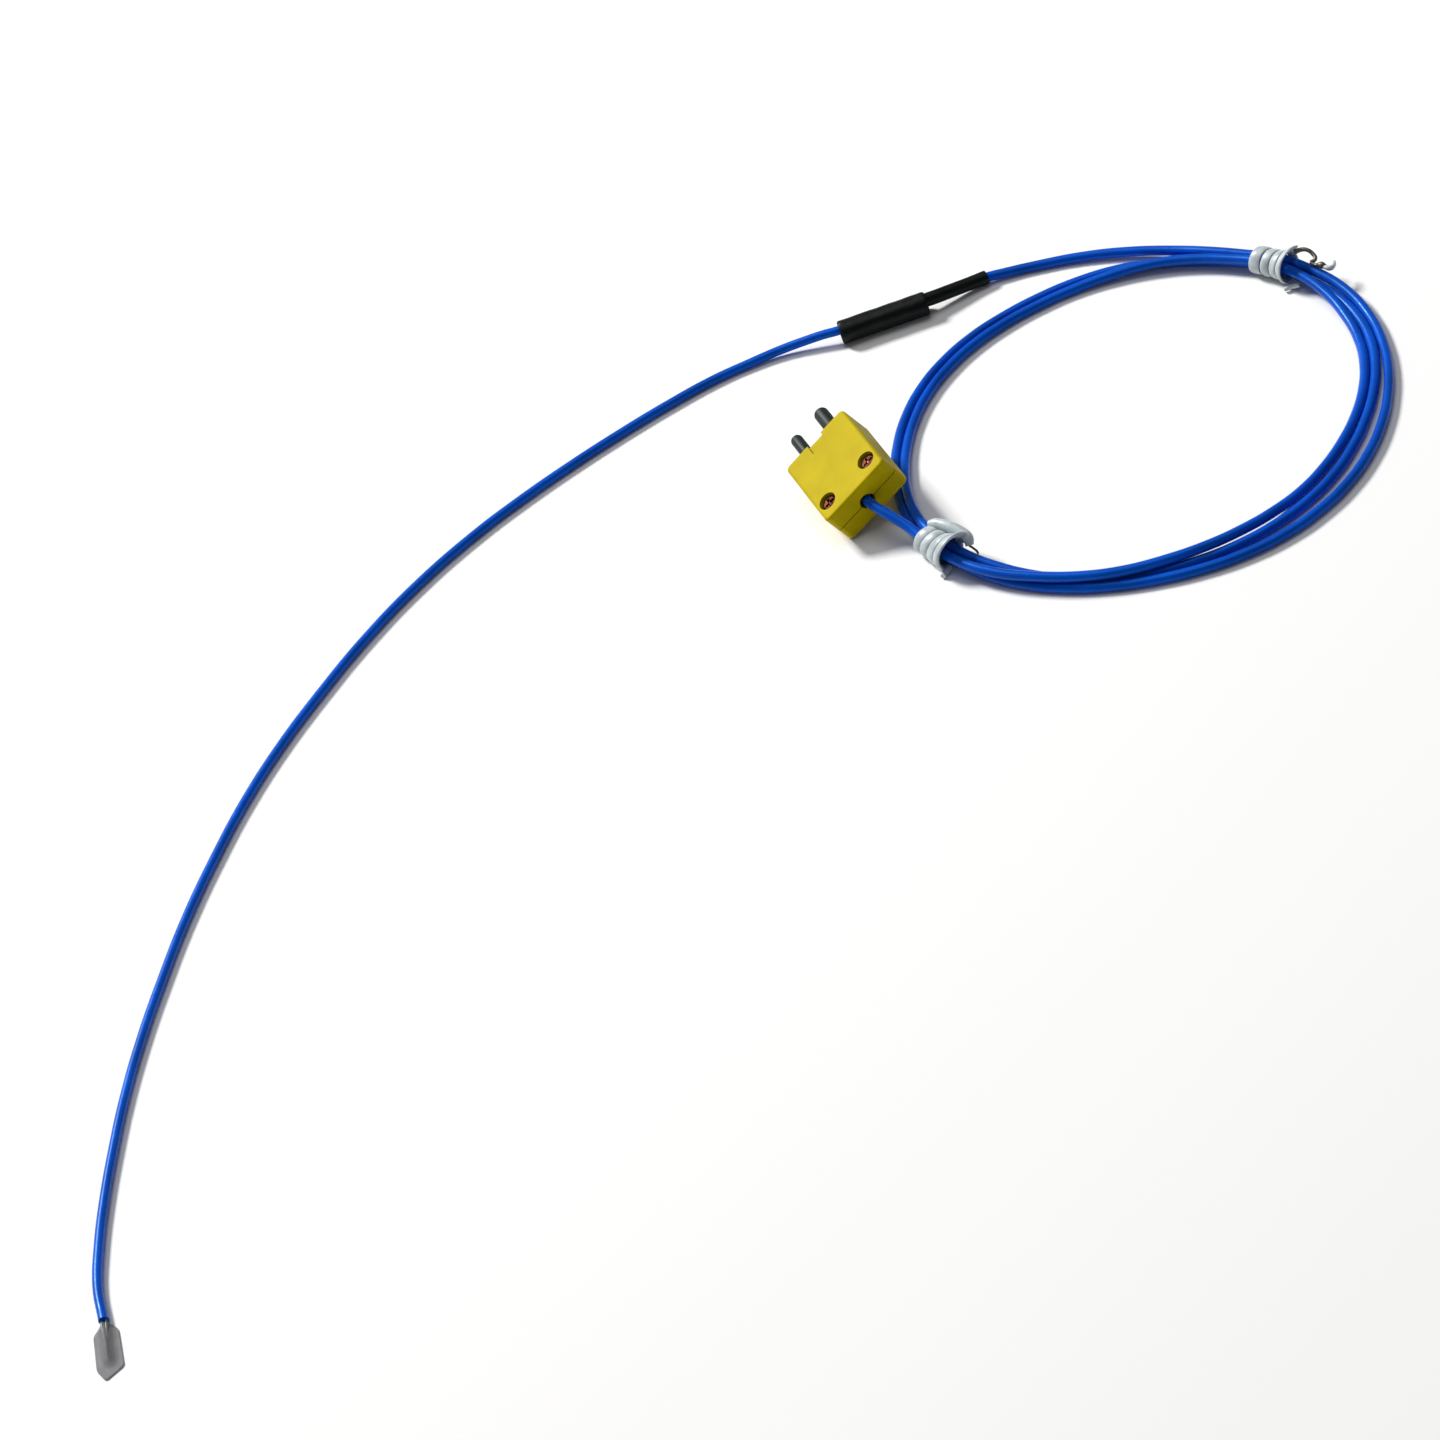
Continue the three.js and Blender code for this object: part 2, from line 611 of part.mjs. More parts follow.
// Cover film: two flat wings and an arch over the cores and the bead
function coverFilmSection() {
  const wing = COVER_FILM.halfWidth;
  const { arch, archHalfWidth: foot } = COVER_FILM;
  const low = FILM.thickness + GAP;
  const t = FILM.thickness;
  const section = new THREE.Shape();
  section.moveTo(-wing, low);
  section.lineTo(-foot, low);
  section.bezierCurveTo(-1.5, low, -1.6, arch, 0, arch);
  section.bezierCurveTo(1.6, arch, 1.5, low, foot, low);
  section.lineTo(wing, low);
  section.lineTo(wing, low + t);
  section.lineTo(foot + 0.2, low + t);
  section.bezierCurveTo(1.9, low + t, 1.8, arch + t, 0, arch + t);
  section.bezierCurveTo(-1.8, arch + t, -1.9, low + t, -foot - 0.2, low + t);
  section.lineTo(-wing, low + t);
  section.closePath();
  return section;
}

node(tip, 'tip_film_cover', new THREE.ExtrudeGeometry(coverFilmSection(), {
  depth: COVER_FILM.length,
  bevelEnabled: false,
  curveSegments: 6,
}).rotateX(Math.PI / 2).translate(0, COVER_FILM.start + COVER_FILM.length, 0), clearFilm);

// ---------------------------------------------------------------- the whole thermocouple

const thermocouple = new THREE.Group();
thermocouple.add(plug, cable, splice, tip);

export default thermocouple;
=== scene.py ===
"""Thermocouple: a yellow two-pin plug, a coiled blue cable, a shrunk splice and a sensing lead."""

import math

import bmesh
import bpy
from bpy.props import FloatProperty, FloatVectorProperty, PointerProperty
from mathutils import Matrix, Vector, noise


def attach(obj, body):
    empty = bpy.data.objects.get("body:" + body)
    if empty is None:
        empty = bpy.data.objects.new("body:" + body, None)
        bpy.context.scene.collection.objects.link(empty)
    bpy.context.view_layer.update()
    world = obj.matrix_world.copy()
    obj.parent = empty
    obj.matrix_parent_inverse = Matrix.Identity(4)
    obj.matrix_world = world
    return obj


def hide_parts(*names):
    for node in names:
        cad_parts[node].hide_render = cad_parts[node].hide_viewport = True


bl_info = {
    "name": "Thermocouple with plug and coiled cable",
    "version": (1, 0, 0),
    "blender": (4, 5, 0),
    "location": "View3D > Sidebar > Thermocouple",
    "description": "Builds the finished pieces of a thermocouple on its CAD frame",
    "category": "Add Mesh",
}

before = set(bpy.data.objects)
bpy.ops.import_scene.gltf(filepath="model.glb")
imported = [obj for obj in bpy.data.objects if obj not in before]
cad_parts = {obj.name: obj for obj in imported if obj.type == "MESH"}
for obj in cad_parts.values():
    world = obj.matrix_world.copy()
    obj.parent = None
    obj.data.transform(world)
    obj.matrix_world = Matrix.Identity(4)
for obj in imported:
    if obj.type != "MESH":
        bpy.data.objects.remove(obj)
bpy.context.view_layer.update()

# ---------------------------------------------------------------- places and routes, in metres

PLUG_BODY = "plug"

COIL_MIDDLE = Vector((0.0853, -0.0320, 0.0))
COIL_STEP = 10.0  # degrees from one point of the cable's line to the next
LOWER_TIE = (-169.5, 0.0768)  # degrees about the coil's middle, distance from it
UPPER_TIE = (27.0, 0.0754)
TIE_HEIGHT = 0.00465

# How the cable runs beside and over itself, from the lower tie round to the upper tie:
# degrees along its turns, distance from the coil's middle, height of its centre.
# This is a table of measured places: the turns are not worked out from a few sizes.
STRAND = (
    (-169.5, 0.0784, 0.0056),
    (-155.0, 0.0780, 0.0049),
    (-145.0, 0.0766, 0.0049),
    (-135.0, 0.0750, 0.0049),
    (-125.0, 0.0740, 0.0047),
    (-115.0, 0.0726, 0.0048),
    (-105.0, 0.0710, 0.0044),
    (-95.0, 0.0696, 0.0036),
    (-85.0, 0.0684, 0.0028),
    (-75.0, 0.0678, 0.0020),
    (-65.0, 0.0674, 0.0016),
    (-55.0, 0.0672, 0.0016),
    (-45.0, 0.0676, 0.0016),
    (-35.0, 0.0684, 0.0016),
    (-25.0, 0.0695, 0.0016),
    (-15.0, 0.0708, 0.0016),
    (-5.0, 0.0719, 0.0017),
    (5.0, 0.0730, 0.0031),
    (15.0, 0.0738, 0.0045),
    (27.0, 0.0738, 0.0056),
    (45.0, 0.0736, 0.0041),
    (55.0, 0.0736, 0.0038),
    (65.0, 0.0729, 0.0029),
    (75.0, 0.0723, 0.0020),
    (85.0, 0.0717, 0.0016),
    (95.0, 0.0714, 0.0016),
    (105.0, 0.0717, 0.0016),
    (125.0, 0.0719, 0.0016),
    (145.0, 0.0716, 0.0016),
    (155.0, 0.0718, 0.0020),
    (165.0, 0.0725, 0.0030),
    (175.0, 0.0736, 0.0042),
    (190.5, 0.0752, 0.0056),
    (205.0, 0.0742, 0.0041),
    (215.0, 0.0732, 0.0029),
    (225.0, 0.0728, 0.0020),
    (235.0, 0.0726, 0.0016),
    (255.0, 0.0726, 0.0016),
    (275.0, 0.0724, 0.0016),
    (295.0, 0.0720, 0.0016),
    (305.0, 0.0715, 0.0016),
    (315.0, 0.0713, 0.0016),
    (325.0, 0.0718, 0.0016),
    (335.0, 0.0728, 0.0016),
    (345.0, 0.0741, 0.0016),
    (355.0, 0.0751, 0.0016),
    (365.0, 0.0758, 0.0016),
    (375.0, 0.0759, 0.0019),
    (387.0, 0.0754, 0.0028),
    (405.0, 0.0756, 0.0016),
    (425.0, 0.0759, 0.0016),
    (435.0, 0.0755, 0.0016),
    (445.0, 0.0749, 0.0016),
    (455.0, 0.0746, 0.0016),
    (465.0, 0.0750, 0.0016),
    (485.0, 0.0752, 0.0016),
    (505.0, 0.0748, 0.0016),
    (515.0, 0.0750, 0.0016),
    (525.0, 0.0754, 0.0017),
    (535.0, 0.0760, 0.0020),
    (550.5, 0.0768, 0.0028),
    (565.0, 0.0765, 0.0017),
    (575.0, 0.0765, 0.0016),
    (595.0, 0.0759, 0.0016),
    (605.0, 0.0758, 0.0016),
    (615.0, 0.0763, 0.0016),
    (635.0, 0.0778, 0.0016),
    (645.0, 0.0780, 0.0016),
    (655.0, 0.0779, 0.0016),
    (675.0, 0.0769, 0.0016),
    (685.0, 0.0766, 0.0016),
    (695.0, 0.0768, 0.0016),
    (705.0, 0.0774, 0.0016),
    (715.0, 0.0783, 0.0017),
    (725.0, 0.0787, 0.0031),
    (735.0, 0.0780, 0.0045),
    (747.0, 0.0770, 0.0056),
)

TAIL_ROUTE = (
    (0.0000, -0.0224, 0.0112),
    (0.0002, -0.0246, 0.01115),
    (0.0014, -0.0282, 0.0105),
    (0.0034, -0.0322, 0.0092),
    (0.0054, -0.0362, 0.0077),
    (0.0070, -0.0408, 0.0064),
)
RUN_ROUTE = (
    (0.1472, 0.0126, 0.0050),
    (0.1400, 0.0222, 0.0043),
    (0.1312, 0.0330, 0.0031),
    (0.1207, 0.0430, 0.0024),
    (0.1082, 0.0518, 0.0019),
    (0.0935, 0.0588, 0.0017),
    (0.0850, 0.0618, 0.0019),
    (0.0793, 0.0633, 0.00225),
    (0.0740, 0.0636, 0.0026),
    (0.0690, 0.0632, 0.0030),
)
THIN_SLEEVE_ROUTE = (
    (0.0792, 0.0633, 0.00235),
    (0.0730, 0.0634, 0.0029),
    (0.0668, 0.0633, 0.0036),
    (0.0606, 0.0632, 0.0043),
    (0.0546, 0.0636, 0.0050),
)
LEAD_ROUTE = (
    (0.0292, 0.0693, 0.0042),
    (0.0250, 0.0709, 0.0040),
    (0.0202, 0.0728, 0.0034),
    (0.0115, 0.0757, 0.0023),
    (0.0000, 0.0774, 0.0016),
    (-0.0120, 0.0779, 0.0015),
    (-0.0280, 0.0765, 0.0015),
    (-0.0470, 0.0736, 0.0015),
    (-0.0660, 0.0698, 0.0015),
    (-0.0850, 0.0650, 0.0015),
    (-0.1040, 0.0589, 0.0015),
    (-0.1270, 0.0489, 0.0015),
    (-0.1500, 0.0356, 0.0015),
    (-0.1710, 0.0206, 0.0015),
    (-0.1890, 0.0062, 0.0015),
    (-0.2060, -0.0098, 0.0015),
    (-0.2220, -0.0276, 0.0015),
    (-0.2380, -0.0474, 0.0015),
    (-0.2520, -0.0672, 0.0015),
    (-0.2645, -0.0862, 0.0015),
    (-0.2755, -0.1050, 0.0015),
    (-0.2850, -0.1235, 0.0015),
    (-0.2930, -0.1405, 0.0015),
    (-0.2994, -0.1560, 0.0015),
    (-0.3041, -0.1700, 0.0015),
    (-0.3063, -0.1828, 0.0015),
)
LEAD_HIDDEN = 0.004  # how far the lead reaches into the thick sleeve

TIP_HEADING = Vector((-0.2213, -0.9752, 0.0))
TIP_CORE_RADIUS = 0.0004
TIP_CORE_HEIGHT = 0.0015
JUNCTION_SIZE = (0.00155, 0.0066, 0.0009)
JUNCTION_PLACE = (0.0, 0.0094, 0.0011)
SLEEVE_START = Vector((0.0580, 0.0628, 0.00385))
SLEEVE_END = Vector((0.0295, 0.0682, 0.00385))

# ---------------------------------------------------------------- settings


def length(name, about, default):
    return FloatProperty(name=name, description=about, default=default, subtype="DISTANCE")


def colour(name, about, default):
    return FloatVectorProperty(
        name=name, description=about, default=default, size=3, min=0.0, max=1.0, subtype="COLOR"
    )


class CableSettings(bpy.types.PropertyGroup):
    cable_diameter: length("Cable diameter", "Outer diameter of the extension cable", 0.0032)
    lead_diameter: length("Lead diameter", "Outer diameter of the sensing lead", 0.0030)
    tie_thickness: length("Tie thickness", "Thickness of the ties' flat coated wire", 0.0011)
    tie_gap: length("Tie clearance", "Space between the bundle and a tie's wraps", 0.0002)
    blue: colour("Sheath blue", "Colour of the cable and lead sheaths", (0.0004, 0.070, 0.50))
    tie_white: colour("Tie white", "Colour of the ties' coating", (0.50, 0.56, 0.585))
    tie_core: colour("Tie core", "Colour of the bare wire in the ties", (0.16, 0.14, 0.12))


class PlugSettings(bpy.types.PropertyGroup):
    edge_break: length("Edge break", "Bevel on the moulded parts' sharp edges", 0.0003)
    pin_edge: length("Pin edge", "Bevel on the turned parts' edges", 0.00015)
    yellow: colour("Plug yellow", "Colour of the moulded shell", (0.48, 0.375, 0.0010))
    pin_colour: colour("Pin colour", "Colour of the dull alloy pins", (0.012, 0.022, 0.021))


class SpliceSettings(bpy.types.PropertyGroup):
    thick_radius: length("Thick sleeve radius", "Outer radius over the crimps", 0.0038)
    thin_radius: length("Thin sleeve radius", "Outer radius on the cable", 0.00225)
    wall: length("Wall", "Wall thickness of the shrunk sleeves", 0.0006)
    black: colour("Sleeve black", "Colour of the shrunk sleeves", (0.0020, 0.0040, 0.0032))


class TipSettings(bpy.types.PropertyGroup):
    film_thickness: length("Film thickness", "Thickness of each film", 0.00022)
    film: colour("Film colour", "Tint of the clear film", (0.26, 0.255, 0.272))
    alloy: colour("Alloy colour", "Colour of the junction", (0.030, 0.034, 0.040))
    varnish: colour("Varnish colour", "Colour of the cores' thin varnish", (0.11, 0.16, 0.175))


class StageSettings(bpy.types.PropertyGroup):
    floor: colour("Floor colour", "Colour of the plain floor", (0.90, 0.90, 0.90))
    lens: FloatProperty(name="Lens", description="Focal length in mm", default=119.7)
    distance: length("Camera distance", "From the camera to what it looks at", 1.4)
    azimuth: FloatProperty(name="Azimuth", description="Camera azimuth", default=-10.12)
    elevation: FloatProperty(name="Elevation", description="Camera elevation", default=40.13)
    roll: FloatProperty(name="Roll", description="Camera roll", default=19.57)


# ---------------------------------------------------------------- materials


def new_material(name, base, roughness, metallic=0.0):
    material = bpy.data.materials.new(name)
    material.use_nodes = True
    shader = material.node_tree.nodes["Principled BSDF"]
    shader.inputs["Base Color"].default_value = (*base, 1.0)
    shader.inputs["Roughness"].default_value = roughness
    shader.inputs["Metallic"].default_value = metallic
    return material, shader


def object_noise(material, scale, detail=3.0, roughness=0.55, stretch=None):
    """A noise pattern on the piece's own coordinates; returns its value output."""
    nodes, links = material.node_tree.nodes, material.node_tree.links
    place = nodes.new("ShaderNodeTexCoord")
    pattern = nodes.new("ShaderNodeTexNoise")
    pattern.inputs["Scale"].default_value = scale
    pattern.inputs["Detail"].default_value = detail
    pattern.inputs["Roughness"].default_value = roughness
    source = place.outputs["Object"]
    if stretch:
        mapping = nodes.new("ShaderNodeMapping")
        mapping.inputs["Scale"].default_value = stretch
        links.new(source, mapping.inputs["Vector"])
        source = mapping.outputs["Vector"]
    links.new(source, pattern.inputs["Vector"])
    return pattern.outputs["Fac"]


def vary_colour(material, shader, value, low, high, start=0.3, end=0.7):
    """Spreads the base colour between two colours along a pattern."""
    nodes, links = material.node_tree.nodes, material.node_tree.links
    ramp = nodes.new("ShaderNodeValToRGB")
    ramp.color_ramp.elements[0].position = start
    ramp.color_ramp.elements[0].color = (*low, 1.0)
    ramp.color_ramp.elements[1].position = end
    ramp.color_ramp.elements[1].color = (*high, 1.0)
    links.new(value, ramp.inputs["Fac"])
    links.new(ramp.outputs["Color"], shader.inputs["Base Color"])


def vary_roughness(material, shader, value, low, high):
    nodes, links = material.node_tree.nodes, material.node_tree.links
    spread = nodes.new("ShaderNodeMapRange")
    spread.inputs["From Min"].default_value = 0.3
    spread.inputs["From Max"].default_value = 0.7
    spread.inputs["To Min"].default_value = low
    spread.inputs["To Max"].default_value = high
    links.new(value, spread.inputs["Value"])
    links.new(spread.outputs["Result"], shader.inputs["Roughness"])


def add_bump(material, shader, value, distance, strength=0.5):
    nodes, links = material.node_tree.nodes, material.node_tree.links
    bump = nodes.new("ShaderNodeBump")
    bump.inputs["Strength"].default_value = strength
    bump.inputs["Distance"].default_value = distance
    links.new(value, bump.inputs["Height"])
    links.new(bump.outputs["Normal"], shader.inputs["Normal"])


def scaled(tone, factor):
    return tuple(min(1.0, channel * factor) for channel in tone)


def finish_moulded_yellow(tone):
    material, shader = new_material("moulded_yellow", tone, 0.5)
    shader.inputs["Specular IOR Level"].default_value = 0.14
    shader.inputs["Specular Tint"].default_value = (1.0, 0.80, 0.05, 1.0)
    cloud = object_noise(material, 90.0)
    vary_colour(material, shader, cloud, scaled(tone, 0.90), scaled(tone, 1.08))
    grain = object_noise(material, 2600.0, 2.0)
    vary_roughness(material, shader, grain, 0.44, 0.60)
    add_bump(material, shader, grain, 0.00005, 0.25)
    return material


def finish_sheath(name, tone):
    material, shader = new_material(name, tone, 0.30)
    shader.inputs["Specular IOR Level"].default_value = 0.45
    shader.inputs["Specular Tint"].default_value = (0.10, 0.50, 1.0, 1.0)
    streaks = object_noise(material, 60.0, 3.0)
    vary_colour(material, shader, streaks, scaled(tone, 0.80), scaled(tone, 1.18))
    skin = object_noise(material, 900.0, 2.0)
    vary_roughness(material, shader, skin, 0.26, 0.42)
    add_bump(material, shader, skin, 0.00005, 0.25)
    return material


def finish_tie(tone):
    material, shader = new_material("tie_coating", tone, 0.38)
    grime = object_noise(material, 260.0, 4.0)
    vary_colour(material, shader, grime, scaled(tone, 0.70), scaled(tone, 1.08), 0.25, 0.60)
    skin = object_noise(material, 1400.0, 2.0)
    add_bump(material, shader, skin, 0.00008, 0.4)
    shader.inputs["Subsurface Weight"].default_value = 0.12
    shader.inputs["Subsurface Radius"].default_value = (0.001, 0.001, 0.0012)
    shader.inputs["Subsurface Scale"].default_value = 1.0
    return material


def finish_shrink(tone):
    material, shader = new_material("shrunk_sleeve", tone, 0.42)
    shader.inputs["Specular IOR Level"].default_value = 0.16
    cloud = object_noise(material, 140.0, 3.0)
    vary_colour(material, shader, cloud, scaled(tone, 0.7), scaled(tone, 1.7))
    skin = object_noise(material, 700.0, 3.0)
    vary_roughness(material, shader, skin, 0.34, 0.52)
    add_bump(material, shader, skin, 0.00012, 0.5)
    return material


def finish_metal(name, tone, low, high, grain_scale=900.0):
    material, shader = new_material(name, tone, (low + high) / 2, 1.0)
    grain = object_noise(material, grain_scale, 3.0)
    vary_colour(material, shader, grain, scaled(tone, 0.78), scaled(tone, 1.18))
    vary_roughness(material, shader, grain, low, high)
    add_bump(material, shader, grain, 0.00003, 0.3)
    return material


def finish_pin(tone):
    material, shader = new_material("dull_pin_alloy", tone, 0.55, 0.25)
    shader.inputs["Specular IOR Level"].default_value = 0.35
    grain = object_noise(material, 700.0, 3.0, stretch=(1.0, 0.12, 1.0))
    vary_colour(material, shader, grain, scaled(tone, 0.7), scaled(tone, 1.45))
    vary_roughness(material, shader, grain, 0.48, 0.66)
    add_bump(material, shader, grain, 0.00003, 0.3)
    return material


def finish_plastic(name, tone, roughness):
    material, shader = new_material(name, tone, roughness)
    skin = object_noise(material, 900.0, 2.0)
    vary_colour(material, shader, skin, scaled(tone, 0.86), scaled(tone, 1.10))
    add_bump(material, shader, skin, 0.00004, 0.3)
    return material


def finish_film(tone):
    material, shader = new_material("clear_film", tone, 0.50)
    haze = object_noise(material, 320.0, 4.0)
    vary_colour(material, shader, haze, scaled(tone, 0.88), scaled(tone, 1.08))
    creases = object_noise(material, 520.0, 3.0, stretch=(1.0, 0.35, 1.0))
    add_bump(material, shader, creases, 0.0002, 0.2)
    shader.inputs["Specular IOR Level"].default_value = 0.20
    shader.inputs["Alpha"].default_value = 0.50
    return material


# ---------------------------------------------------------------- shared making


def through(keys, place, column):
    """A smooth line through keyed values, the same slope on both sides of each key."""
    last = len(keys) - 1
    spot = max(i for i in range(last) if keys[i][0] <= place or i == 0)

    def slope(i):
        before, after = max(i - 1, 0), min(i + 1, last)
        rise = keys[after][column] - keys[before][column]
        return rise / (keys[after][0] - keys[before][0])

    start, end = keys[spot], keys[spot + 1]
    span = end[0] - start[0]
    t = (place - start[0]) / span
    return (
        (2 * t**3 - 3 * t**2 + 1) * start[column]
        + (t**3 - 2 * t**2 + t) * span * slope(spot)
        + (3 * t**2 - 2 * t**3) * end[column]
        + (t**3 - t**2) * span * slope(spot + 1)
    )


def around_coil(degrees, radius, height):
    angle = math.radians(degrees)
    return COIL_MIDDLE + Vector((radius * math.cos(angle), radius * math.sin(angle), height))


def on_tie(tie, along, outwards, up):
    """A point in a tie's own frame, bent with the ring: along it, outwards and up."""
    degrees, radius = tie
    degrees += math.degrees(along / radius)
    return around_coil(degrees, radius + outwards, TIE_HEIGHT + up)


def make_tube(name, points, radius, material, radii=None, resolution=4, sides=4):
    """A round tube on one smooth open curve through the points."""
    curve = bpy.data.curves.new(name, "CURVE")
    curve.dimensions = "3D"
    curve.resolution_u = resolution
    curve.render_resolution_u = resolution
    curve.bevel_depth = radius
    curve.bevel_resolution = sides
    curve.use_fill_caps = True
    curve.materials.append(material)
    line = curve.splines.new("BEZIER")
    line.bezier_points.add(len(points) - 1)
    for i, (spot, point) in enumerate(zip(line.bezier_points, points)):
        spot.co = point
        spot.handle_left_type = spot.handle_right_type = "AUTO"
        spot.radius = radii[i] if radii else 1.0
    piece = bpy.data.objects.new(name, curve)
    bpy.context.collection.objects.link(piece)
    return piece


def keep_mesh(name, bm, material, smooth_below=40.0):
    """Turns a bmesh into a piece at the origin, smooth except at sharp edges."""
    for face in bm.faces:
        face.smooth = True
    limit = math.radians(smooth_below)
    for edge in bm.edges:
        if len(edge.link_faces) == 2 and edge.calc_face_angle(0.0) > limit:
            edge.smooth = False
    mesh = bpy.data.meshes.new(name)
    bm.to_mesh(mesh)
    bm.free()
    mesh.materials.append(material)
    piece = bpy.data.objects.new(name, mesh)
    bpy.context.collection.objects.link(piece)
    return piece


def refined_copy(node, name, edge_break, material, sharp=48.0, segments=2):
    """A CAD node's copy with its doubles merged, flats joined and sharp edges broken."""
    bm = bmesh.new()
    bm.from_mesh(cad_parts[node].data)
    bmesh.ops.remove_doubles(bm, verts=bm.verts, dist=0.000002)
    bmesh.ops.dissolve_limit(
        bm, angle_limit=math.radians(1.0), verts=bm.verts, edges=bm.edges, delimit=set()
    )
    limit = math.radians(sharp)
    edges = [e for e in bm.edges if len(e.link_faces) == 2 and e.calc_face_angle(0.0) > limit]
    bmesh.ops.bevel(
        bm,
        geom=edges,
        offset=edge_break,
        offset_type="OFFSET",
        affect="EDGES",
        segments=segments,
        profile=0.5,
        material=-1,
        clamp_overlap=True,
    )
    bmesh.ops.triangulate(bm, faces=bm.faces)
    piece = keep_mesh(name, bm, material, 36.0)
    flats = piece.modifiers.new("flat_faces", "WEIGHTED_NORMAL")
    flats.weight = 100
    flats.keep_sharp = True
    return piece


def settle(piece, body, slot, *nodes):
    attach(piece, body)
    if nodes:
        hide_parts(*nodes)
    return piece


def paint(node, material):
    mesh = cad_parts[node].data
    mesh.materials.clear()
    mesh.materials.append(material)


def done_or_fail(operator, piece):
    if piece is None or (piece.type == "MESH" and not piece.data.polygons):
        raise RuntimeError(f"{operator.bl_label} made nothing")
    return {"FINISHED"}


# ---------------------------------------------------------------- stage


def aimed(location, target, roll=0.0):
    """A placement that looks along -Z from location to target, turned by roll."""
    back = (location - target).normalized()
    right = Vector((0.0, 0.0, 1.0)).cross(back).normalized()
    up = back.cross(right)
    tilted_right = math.cos(roll) * right - math.sin(roll) * up
    tilted_up = math.sin(roll) * right + math.cos(roll) * up
    turn = Matrix((tilted_right, tilted_up, back)).transposed().to_4x4()
    return Matrix.Translation(location) @ turn


def add_light(name, location, target, size, power, tint):
    light = bpy.data.lights.new(name, "AREA")
    light.shape = "DISK"
    light.size = size
    light.energy = power
    light.color = tint
    lamp = bpy.data.objects.new(name, light)
    lamp.matrix_world = aimed(Vector(location), Vector(target))
    bpy.context.collection.objects.link(lamp)


class THERMO_OT_stage(bpy.types.Operator):
    """Set up the camera, the soft studio light and the plain floor"""

    bl_idname = "thermo.stage"
    bl_label = "Stage"

    def execute(self, context):
        settings = context.scene.thermo_stage
        azimuth, elevation = math.radians(settings.azimuth), math.radians(settings.elevation)
        target = Vector((-0.0734, -0.0707, 0.0))
        away = Vector(
            (
                math.sin(azimuth) * math.cos(elevation),
                -math.cos(azimuth) * math.cos(elevation),
                math.sin(elevation),
            )
        )
        lens = bpy.data.cameras.new("camera")
        lens.lens = settings.lens
        lens.sensor_width = 36.0
        lens.clip_start = 0.01
        camera = bpy.data.objects.new("camera", lens)
        camera.matrix_world = aimed(
            target + away * settings.distance, target, math.radians(settings.roll)
        )
        context.collection.objects.link(camera)
        context.scene.camera = camera

        middle = (-0.05, -0.06, 0.0)
        add_light("window", (-1.10, 2.20, 2.20), middle, 0.80, 140.0, (1.0, 0.99, 0.97))
        add_light("ceiling", (0.10, 0.40, 3.00), middle, 2.20, 20.0, (0.98, 0.99, 1.0))
        world = bpy.data.worlds.new("soft_room")
        world.use_nodes = True
        sky = world.node_tree.nodes["Background"]
        sky.inputs["Color"].default_value = (0.97, 0.98, 1.0, 1.0)
        sky.inputs["Strength"].default_value = 0.15
        context.scene.world = world
        context.scene.view_settings.view_transform = "Standard"

        bm = bmesh.new()
        bmesh.ops.create_grid(bm, x_segments=1, y_segments=1, size=6.0)
        material, shader = new_material("plain_floor", tuple(settings.floor), 0.7)
        shader.inputs["Specular IOR Level"].default_value = 0.15
        floor = keep_mesh("floor", bm, material)
        floor.data.transform(Matrix.Translation((0.0, 0.0, -0.00005)))
        return {"FINISHED"}


# ---------------------------------------------------------------- cable, ties and lead


def wrapped_band(name, tie, shape, flare, gap, material):
    """A flat coated wire spun round the bundle, then bent with the ring."""
    turns, pitch, width, thickness, reach, start = shape
    steps = int(turns * 30)
    bm = bmesh.new()
    bmesh.ops.create_circle(bm, cap_ends=False, radius=1.0, segments=14)
    bmesh.ops.scale(bm, vec=(width / 2, thickness / 2, 1.0), verts=bm.verts)
    bmesh.ops.translate(bm, vec=(-turns * pitch / 2, reach, 0.0), verts=bm.verts)
    turned = Matrix.Rotation(2 * math.pi * start, 3, "X")
    bmesh.ops.rotate(bm, cent=(0.0, 0.0, 0.0), matrix=turned, verts=bm.verts)
    bmesh.ops.spin(
        bm,
        geom=[*bm.verts, *bm.edges],
        cent=(0.0, 0.0, 0.0),
        axis=(1.0, 0.0, 0.0),
        dvec=(turns * pitch / steps, 0.0, 0.0),
        angle=2 * math.pi * turns,
        steps=steps,
        use_merge=False,
    )
    bmesh.ops.remove_doubles(bm, verts=bm.verts, dist=0.000001)
    bmesh.ops.holes_fill(bm, edges=[e for e in bm.edges if e.is_boundary], sides=0)
    bmesh.ops.recalc_face_normals(bm, faces=bm.faces)
    half = turns * pitch / 2
    for vert in bm.verts:
        along, outwards, up = vert.co
        share = math.copysign(along / half, along * flare)
        opened = abs(flare) * max(0.0, share + 0.15) ** 2.2
        crumple = 1.0 + 0.03 * noise.noise(vert.co * 300.0)
        grown = (1.0 + opened / reach) * crumple
        along += gap * max(0.0, -share - 0.35) + 0.10 * up
        vert.co = on_tie(tie, along, outwards * grown, up * grown + opened * 0.8)
        vert.co.z = max(vert.co.z, 0.0)
    return keep_mesh(name, bm, material, 60.0)


